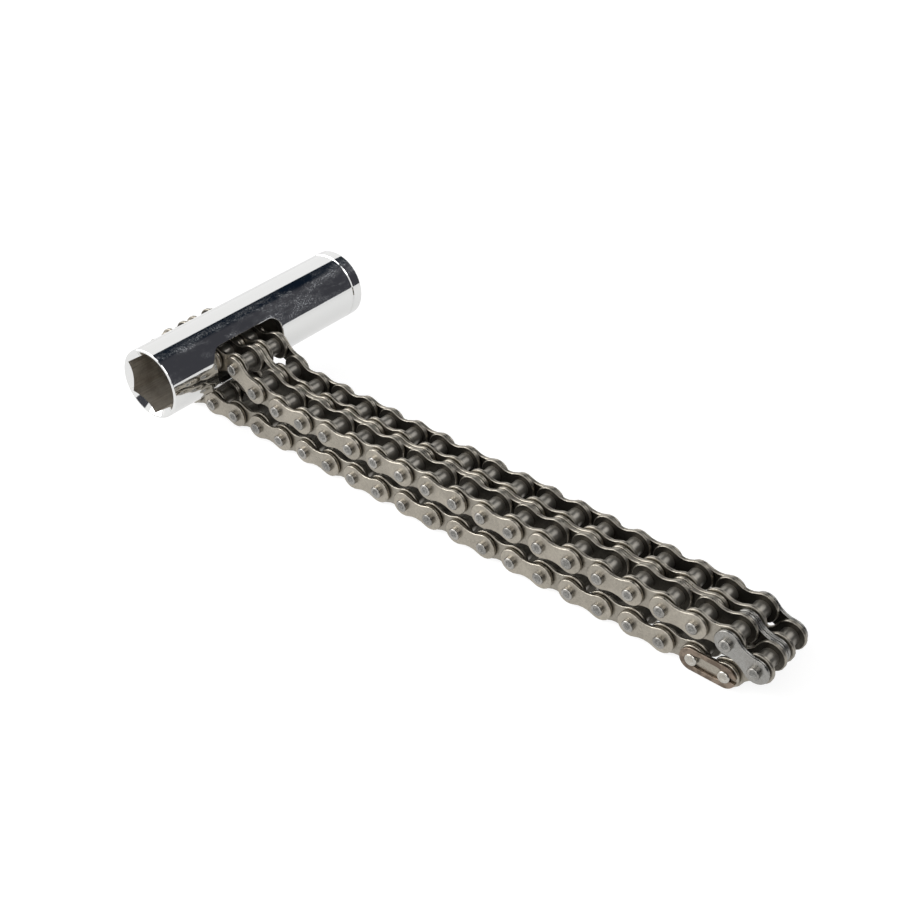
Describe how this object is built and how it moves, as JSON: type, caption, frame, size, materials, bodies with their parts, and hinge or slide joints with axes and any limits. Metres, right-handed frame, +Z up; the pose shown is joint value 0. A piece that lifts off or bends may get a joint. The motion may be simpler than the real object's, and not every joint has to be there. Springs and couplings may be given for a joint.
{
  "type": "chain oil filter socket",
  "caption": "Deep drive socket with a closed loop of two-strand roller chain threaded through windows in its body, used to grip and turn oil filters.",
  "frame": {"origin": "under the middle of the object's bounding box, on the surface that the chain lies on", "axes": "+X along the chain runs away from the socket body, +Y along the body from its hexagon to its square drive, +Z up"},
  "size_m": [0.2226, 0.081, 0.0308],
  "materials": {
    "chrome_plate": "polished chrome plate",
    "link_steel": "oiled bare steel",
    "tempered_spring_steel": "bronze-brown temper colour"
  },
  "bodies": {
    "outer_link_15": {"outer_link_15": "link_steel"},
    "outer_link_01": {"outer_link_01": "link_steel"},
    "inner_link_01": {"inner_link_01": "link_steel"},
    "outer_link_02": {"outer_link_02": "link_steel"},
    "inner_link_02": {"inner_link_02": "link_steel"},
    "outer_link_03": {"outer_link_03": "link_steel"},
    "inner_link_03": {"inner_link_03": "link_steel"},
    "outer_link_04": {"outer_link_04": "link_steel"},
    "inner_link_04": {"inner_link_04": "link_steel"},
    "outer_link_05": {"outer_link_05": "link_steel"},
    "inner_link_05": {"inner_link_05": "link_steel"},
    "outer_link_06": {"outer_link_06": "link_steel"},
    "inner_link_06": {"inner_link_06": "link_steel"},
    "outer_link_07": {"outer_link_07": "link_steel"},
    "inner_link_07": {"inner_link_07": "link_steel"},
    "outer_link_08": {"outer_link_08": "link_steel"},
    "inner_link_08": {"inner_link_08": "link_steel"},
    "outer_link_09": {"outer_link_09": "link_steel"},
    "inner_link_09": {"inner_link_09": "link_steel"},
    "outer_link_10": {"outer_link_10": "link_steel"},
    "inner_link_10": {"inner_link_10": "link_steel"},
    "connecting_link": {"connecting_link": "link_steel", "connecting_plate": "link_steel", "spring_clip": "tempered_spring_steel"},
    "inner_link_11": {"inner_link_11": "link_steel"},
    "outer_link_11": {"outer_link_11": "link_steel"},
    "inner_link_12": {"inner_link_12": "link_steel"},
    "outer_link_12": {"outer_link_12": "link_steel"},
    "inner_link_13": {"inner_link_13": "link_steel"},
    "outer_link_13": {"outer_link_13": "link_steel"},
    "inner_link_14": {"inner_link_14": "link_steel"},
    "outer_link_14": {"outer_link_14": "link_steel"},
    "inner_link_15": {"inner_link_15": "link_steel"},
    "inner_link_16": {"inner_link_16": "link_steel"},
    "outer_link_16": {"outer_link_16": "link_steel"},
    "inner_link_17": {"inner_link_17": "link_steel"},
    "outer_link_17": {"outer_link_17": "link_steel"},
    "inner_link_18": {"inner_link_18": "link_steel"},
    "outer_link_18": {"outer_link_18": "link_steel"},
    "inner_link_19": {"inner_link_19": "link_steel"},
    "outer_link_19": {"outer_link_19": "link_steel"},
    "inner_link_20": {"inner_link_20": "link_steel"},
    "outer_link_20": {"outer_link_20": "link_steel"},
    "inner_link_21": {"inner_link_21": "link_steel"},
    "outer_link_21": {"outer_link_21": "link_steel"},
    "inner_link_22": {"inner_link_22": "link_steel"},
    "outer_link_22": {"outer_link_22": "link_steel"},
    "inner_link_23": {"inner_link_23": "link_steel"},
    "socket_body": {"socket_body": "chrome_plate"}
  },
  "joints": [
    {"name": "pin_outer_15_inner_16", "type": "hinge", "parent": "outer_link_15", "child": "inner_link_16", "pos_m": [-0.00542, -0.00985, 0.00435], "axis": [0, -1, 0], "range_deg": [-7.49, 0]},
    {"name": "pin_inner_16_outer_16", "type": "hinge", "parent": "inner_link_16", "child": "outer_link_16", "pos_m": [-0.01495, -0.00985, 0.00435], "axis": [0, -1, 0], "range_deg": [-6.73, 0]},
    {"name": "pin_outer_16_inner_17", "type": "hinge", "parent": "outer_link_16", "child": "inner_link_17", "pos_m": [-0.02447, -0.00985, 0.00435], "axis": [0, -1, 0], "range_deg": [-6.03, 0]},
    {"name": "pin_inner_17_outer_17", "type": "hinge", "parent": "inner_link_17", "child": "outer_link_17", "pos_m": [-0.034, -0.00985, 0.00435], "axis": [0, -1, 0], "range_deg": [-5.54, 0]},
    {"name": "pin_outer_17_inner_18", "type": "hinge", "parent": "outer_link_17", "child": "inner_link_18", "pos_m": [-0.04352, -0.00985, 0.00435], "axis": [0, -1, 0], "range_deg": [-5.37, 0]},
    {"name": "pin_inner_18_outer_18", "type": "hinge", "parent": "inner_link_18", "child": "outer_link_18", "pos_m": [-0.05305, -0.00985, 0.00435], "axis": [0, -1, 0], "range_deg": [-5.6, 0]},
    {"name": "pin_outer_18_inner_19", "type": "hinge", "parent": "outer_link_18", "child": "inner_link_19", "pos_m": [-0.06257, -0.00985, 0.00435], "axis": [0, -1, 0], "range_deg": [-6.29, 0]},
    {"name": "pin_inner_19_outer_19", "type": "hinge", "parent": "inner_link_19", "child": "outer_link_19", "pos_m": [-0.0721, -0.00985, 0.00435], "axis": [0, -1, 0], "range_deg": [-7.41, 0]},
    {"name": "pin_outer_19_inner_20", "type": "hinge", "parent": "outer_link_19", "child": "inner_link_20", "pos_m": [-0.08162, -0.00985, 0.00435], "axis": [0, -1, 0], "range_deg": [-8.53, 0]},
    {"name": "pin_inner_20_outer_20", "type": "hinge", "parent": "inner_link_20", "child": "outer_link_20", "pos_m": [-0.09115, -0.00985, 0.00435], "axis": [0, -1, 0], "range_deg": [-8.09, 0]},
    {"name": "pin_outer_20_inner_21", "type": "hinge", "parent": "outer_link_20", "child": "inner_link_21", "pos_m": [-0.10067, -0.00985, 0.00438], "axis": [0, -1, 0], "range_deg": [0, 40.63]},
    {"name": "loop_open", "type": "hinge", "parent": "inner_link_21", "child": "outer_link_21", "pos_m": [-0.10692, -0.00985, 0.01157], "axis": [0, -1, 0], "range_deg": [0, 86.07]},
    {"name": "pin_outer_21_inner_22", "type": "hinge", "parent": "outer_link_21", "child": "inner_link_22", "pos_m": [-0.09999, -0.00985, 0.0181], "axis": [0, -1, 0], "range_deg": [0, 15.91]},
    {"name": "pin_inner_22_outer_22", "type": "hinge", "parent": "inner_link_22", "child": "outer_link_22", "pos_m": [-0.09053, -0.00985, 0.01922], "axis": [0, -1, 0], "range_deg": [-7.74, 0]},
    {"name": "pin_outer_22_inner_23", "type": "hinge", "parent": "outer_link_22", "child": "inner_link_23", "pos_m": [-0.08107, -0.00985, 0.02033], "axis": [0, -1, 0], "range_deg": [-6.58, 0]},
    {"name": "pin_inner_23_outer_01", "type": "hinge", "parent": "inner_link_23", "child": "outer_link_01", "pos_m": [-0.07158, -0.00985, 0.02122], "axis": [0, -1, 0], "range_deg": [0, 16.2]},
    {"name": "pin_outer_01_inner_01", "type": "hinge", "parent": "outer_link_01", "child": "inner_link_01", "pos_m": [-0.06339, -0.00985, 0.01637], "axis": [0, -1, 0], "range_deg": [-36.84, 0]},
    {"name": "pin_inner_01_outer_02", "type": "hinge", "parent": "inner_link_01", "child": "outer_link_02", "pos_m": [-0.05412, -0.00985, 0.01416], "axis": [0, -1, 0], "range_deg": [-13.87, 0]},
    {"name": "pin_outer_02_inner_02", "type": "hinge", "parent": "outer_link_02", "child": "inner_link_02", "pos_m": [-0.0446, -0.00985, 0.01416], "axis": [0, -1, 0], "range_deg": [-2.84, 0]},
    {"name": "pin_inner_02_outer_03", "type": "hinge", "parent": "inner_link_02", "child": "outer_link_03", "pos_m": [-0.03507, -0.00985, 0.01416], "axis": [0, -1, 0], "range_deg": [-3.71, 0]},
    {"name": "pin_outer_03_inner_03", "type": "hinge", "parent": "outer_link_03", "child": "inner_link_03", "pos_m": [-0.02555, -0.00985, 0.01416], "axis": [0, -1, 0], "range_deg": [-4.4, 0]},
    {"name": "pin_inner_03_outer_04", "type": "hinge", "parent": "inner_link_03", "child": "outer_link_04", "pos_m": [-0.01602, -0.00985, 0.01416], "axis": [0, -1, 0], "range_deg": [-4.99, 0]},
    {"name": "pin_outer_15_inner_15", "type": "hinge", "parent": "outer_link_15", "child": "inner_link_15", "pos_m": [0.0041, -0.00985, 0.00435], "axis": [0, -1, 0], "range_deg": [0, 6.31]},
    {"name": "pin_inner_15_outer_14", "type": "hinge", "parent": "inner_link_15", "child": "outer_link_14", "pos_m": [0.01363, -0.00985, 0.00435], "axis": [0, -1, 0], "range_deg": [0, 6.91]},
    {"name": "pin_outer_14_inner_14", "type": "hinge", "parent": "outer_link_14", "child": "inner_link_14", "pos_m": [0.02315, -0.00985, 0.00435], "axis": [0, -1, 0], "range_deg": [0, 7.48]},
    {"name": "pin_inner_14_outer_13", "type": "hinge", "parent": "inner_link_14", "child": "outer_link_13", "pos_m": [0.03268, -0.00985, 0.00435], "axis": [0, -1, 0], "range_deg": [0, 8.18]},
    {"name": "pin_outer_13_inner_13", "type": "hinge", "parent": "outer_link_13", "child": "inner_link_13", "pos_m": [0.0422, -0.00985, 0.00435], "axis": [0, -1, 0], "range_deg": [0, 9.26]},
    {"name": "pin_inner_13_outer_12", "type": "hinge", "parent": "inner_link_13", "child": "outer_link_12", "pos_m": [0.05173, -0.00985, 0.00435], "axis": [0, -1, 0], "range_deg": [0, 10.91]},
    {"name": "pin_outer_12_inner_12", "type": "hinge", "parent": "outer_link_12", "child": "inner_link_12", "pos_m": [0.06125, -0.00985, 0.00435], "axis": [0, -1, 0], "range_deg": [0, 12.81]},
    {"name": "pin_inner_12_outer_11", "type": "hinge", "parent": "inner_link_12", "child": "outer_link_11", "pos_m": [0.07078, -0.00985, 0.00435], "axis": [0, -1, 0], "range_deg": [0, 12.41]},
    {"name": "pin_outer_11_inner_11", "type": "hinge", "parent": "outer_link_11", "child": "inner_link_11", "pos_m": [0.0803, -0.00985, 0.00435], "axis": [0, -1, 0], "range_deg": [0, 3.53]},
    {"name": "pin_inner_11_connecting", "type": "hinge", "parent": "inner_link_11", "child": "connecting_link", "pos_m": [0.08983, -0.00985, 0.00435], "axis": [0, -1, 0], "range_deg": [-9.62, 0]},
    {"name": "pin_connecting_inner_10", "type": "hinge", "parent": "connecting_link", "child": "inner_link_10", "pos_m": [0.09935, -0.00985, 0.00435], "axis": [0, -1, 0], "range_deg": [-47.16, 0]},
    {"name": "pin_inner_10_outer_10", "type": "hinge", "parent": "inner_link_10", "child": "outer_link_10", "pos_m": [0.10692, -0.00985, 0.01014], "axis": [0, -1, 0], "range_deg": [-64.51, 0]},
    {"name": "pin_outer_10_inner_09", "type": "hinge", "parent": "outer_link_10", "child": "inner_link_09", "pos_m": [0.09828, -0.00985, 0.01416], "axis": [0, -1, 0], "range_deg": [-17.42, 0]},
    {"name": "pin_inner_09_outer_09", "type": "hinge", "parent": "inner_link_09", "child": "outer_link_09", "pos_m": [0.08875, -0.00985, 0.01416], "axis": [0, -1, 0], "range_deg": [0, 4.21]},
    {"name": "pin_outer_09_inner_08", "type": "hinge", "parent": "outer_link_09", "child": "inner_link_08", "pos_m": [0.07923, -0.00985, 0.01416], "axis": [0, -1, 0], "range_deg": [0, 4.61]},
    {"name": "pin_inner_08_outer_08", "type": "hinge", "parent": "inner_link_08", "child": "outer_link_08", "pos_m": [0.0697, -0.00985, 0.01416], "axis": [0, -1, 0], "range_deg": [0, 5.71]},
    {"name": "pin_outer_08_inner_07", "type": "hinge", "parent": "outer_link_08", "child": "inner_link_07", "pos_m": [0.06018, -0.00985, 0.01416], "axis": [0, -1, 0], "range_deg": [0, 7.01]},
    {"name": "pin_inner_07_outer_07", "type": "hinge", "parent": "inner_link_07", "child": "outer_link_07", "pos_m": [0.05065, -0.00985, 0.01416], "axis": [0, -1, 0], "range_deg": [0, 8]},
    {"name": "pin_outer_07_inner_06", "type": "hinge", "parent": "outer_link_07", "child": "inner_link_06", "pos_m": [0.04113, -0.00985, 0.01416], "axis": [0, -1, 0], "range_deg": [0, 8.33]},
    {"name": "pin_inner_06_outer_06", "type": "hinge", "parent": "inner_link_06", "child": "outer_link_06", "pos_m": [0.0316, -0.00985, 0.01416], "axis": [0, -1, 0], "range_deg": [0, 8.05]},
    {"name": "pin_outer_06_inner_05", "type": "hinge", "parent": "outer_link_06", "child": "inner_link_05", "pos_m": [0.02208, -0.00985, 0.01416], "axis": [0, -1, 0], "range_deg": [0, 7.43]},
    {"name": "pin_inner_05_outer_05", "type": "hinge", "parent": "inner_link_05", "child": "outer_link_05", "pos_m": [0.01255, -0.00985, 0.01416], "axis": [0, -1, 0], "range_deg": [0, 6.73]},
    {"name": "pin_outer_05_inner_04", "type": "hinge", "parent": "outer_link_05", "child": "inner_link_04", "pos_m": [0.00303, -0.00985, 0.01416], "axis": [0, -1, 0], "range_deg": [0, 6.09]},
    {"name": "body_turn", "type": "hinge", "parent": "outer_link_22", "child": "socket_body", "pos_m": [-0.08555, -0.00985, 0.0198], "axis": [0, -1, 0], "range_deg": [-4, 4]}
  ],
  "couplings": [
    {"joint": "pin_outer_15_inner_16", "follows": "loop_open", "ratio": -0.08699},
    {"joint": "pin_inner_16_outer_16", "follows": "loop_open", "ratio": -0.078179},
    {"joint": "pin_outer_16_inner_17", "follows": "loop_open", "ratio": -0.070088},
    {"joint": "pin_inner_17_outer_17", "follows": "loop_open", "ratio": -0.064362},
    {"joint": "pin_outer_17_inner_18", "follows": "loop_open", "ratio": -0.062345},
    {"joint": "pin_inner_18_outer_18", "follows": "loop_open", "ratio": -0.065051},
    {"joint": "pin_outer_18_inner_19", "follows": "loop_open", "ratio": -0.073128},
    {"joint": "pin_inner_19_outer_19", "follows": "loop_open", "ratio": -0.086076},
    {"joint": "pin_outer_19_inner_20", "follows": "loop_open", "ratio": -0.099103},
    {"joint": "pin_inner_20_outer_20", "follows": "loop_open", "ratio": -0.093958},
    {"joint": "pin_outer_20_inner_21", "follows": "loop_open", "ratio": 0.47207},
    {"joint": "pin_outer_21_inner_22", "follows": "loop_open", "ratio": 0.18491},
    {"joint": "pin_inner_22_outer_22", "follows": "loop_open", "ratio": -0.089947},
    {"joint": "pin_outer_22_inner_23", "follows": "loop_open", "ratio": -0.076469},
    {"joint": "pin_inner_23_outer_01", "follows": "loop_open", "ratio": 0.18821},
    {"joint": "pin_outer_01_inner_01", "follows": "loop_open", "ratio": -0.42802},
    {"joint": "pin_inner_01_outer_02", "follows": "loop_open", "ratio": -0.16113},
    {"joint": "pin_outer_02_inner_02", "follows": "loop_open", "ratio": -0.033014},
    {"joint": "pin_inner_02_outer_03", "follows": "loop_open", "ratio": -0.043054},
    {"joint": "pin_outer_03_inner_03", "follows": "loop_open", "ratio": -0.051176},
    {"joint": "pin_inner_03_outer_04", "follows": "loop_open", "ratio": -0.057932},
    {"joint": "pin_outer_15_inner_15", "follows": "loop_open", "ratio": 0.073319},
    {"joint": "pin_inner_15_outer_14", "follows": "loop_open", "ratio": 0.08028},
    {"joint": "pin_outer_14_inner_14", "follows": "loop_open", "ratio": 0.086874},
    {"joint": "pin_inner_14_outer_13", "follows": "loop_open", "ratio": 0.095018},
    {"joint": "pin_outer_13_inner_13", "follows": "loop_open", "ratio": 0.10754},
    {"joint": "pin_inner_13_outer_12", "follows": "loop_open", "ratio": 0.12677},
    {"joint": "pin_outer_12_inner_12", "follows": "loop_open", "ratio": 0.14887},
    {"joint": "pin_inner_12_outer_11", "follows": "loop_open", "ratio": 0.14423},
    {"joint": "pin_outer_11_inner_11", "follows": "loop_open", "ratio": 0.041024},
    {"joint": "pin_inner_11_connecting", "follows": "loop_open", "ratio": -0.11179},
    {"joint": "pin_connecting_inner_10", "follows": "loop_open", "ratio": -0.54799},
    {"joint": "pin_inner_10_outer_10", "follows": "loop_open", "ratio": -0.74955},
    {"joint": "pin_outer_10_inner_09", "follows": "loop_open", "ratio": -0.20241},
    {"joint": "pin_inner_09_outer_09", "follows": "loop_open", "ratio": 0.048917},
    {"joint": "pin_outer_09_inner_08", "follows": "loop_open", "ratio": 0.053606},
    {"joint": "pin_inner_08_outer_08", "follows": "loop_open", "ratio": 0.066344},
    {"joint": "pin_outer_08_inner_07", "follows": "loop_open", "ratio": 0.081486},
    {"joint": "pin_inner_07_outer_07", "follows": "loop_open", "ratio": 0.092905},
    {"joint": "pin_outer_07_inner_06", "follows": "loop_open", "ratio": 0.096749},
    {"joint": "pin_inner_06_outer_06", "follows": "loop_open", "ratio": 0.093504},
    {"joint": "pin_outer_06_inner_05", "follows": "loop_open", "ratio": 0.08633},
    {"joint": "pin_inner_05_outer_05", "follows": "loop_open", "ratio": 0.078223},
    {"joint": "pin_outer_05_inner_04", "follows": "loop_open", "ratio": 0.07075}
  ]
}
